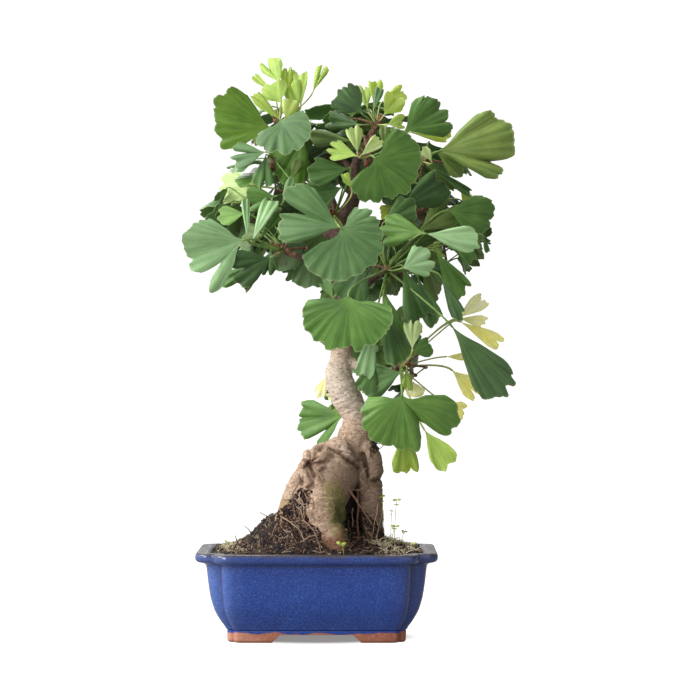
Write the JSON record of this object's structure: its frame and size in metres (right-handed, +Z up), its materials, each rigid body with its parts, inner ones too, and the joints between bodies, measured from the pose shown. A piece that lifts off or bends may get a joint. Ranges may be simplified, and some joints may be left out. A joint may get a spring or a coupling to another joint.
{
  "type": "ginkgo bonsai",
  "caption": "Small ginkgo bonsai with a leaning root-over-soil trunk and open clusters of fan-shaped leaves, in a lobed glazed pot.",
  "frame": {"origin": "on the ground under the middle of the plant's overall box, the pot's feet standing on it", "axes": "+Z up the trunk, -Y towards the pot's front, +X to the right as seen from the front"},
  "size_m": [0.2204, 0.1662, 0.3933],
  "materials": {
    "pot": "glossy cobalt glaze",
    "pot_base": "bare fired clay, matt",
    "soil": "damp crumbly potting soil",
    "bark": "pale wrinkled bark",
    "leaves": "soft satin leaf"
  },
  "bodies": {
    "root": {"pot": "pot", "pot_base": "pot_base", "soil": "soil", "trunk": "bark", "bough_top_left": "bark", "bough_left": "bark", "bough_right": "bark", "bough_top_right": "bark", "bough_lower_right": "bark", "bough_lower_left": "bark", "bough_back_top": "bark", "bough_back_middle": "bark", "bough_back_low": "bark", "bough_back_left": "bark", "bough_back_right": "bark", "foliage_top_left": "leaves", "foliage_left": "leaves", "foliage_centre": "leaves", "foliage_top": "leaves", "foliage_top_right": "leaves", "foliage_right": "leaves", "foliage_lower_right": "leaves", "foliage_lower_left": "leaves", "foliage_back_top": "leaves", "foliage_back_middle": "leaves", "foliage_back_low": "leaves", "foliage_back_left": "leaves", "foliage_back_right": "leaves"}
  },
  "joints": []
}
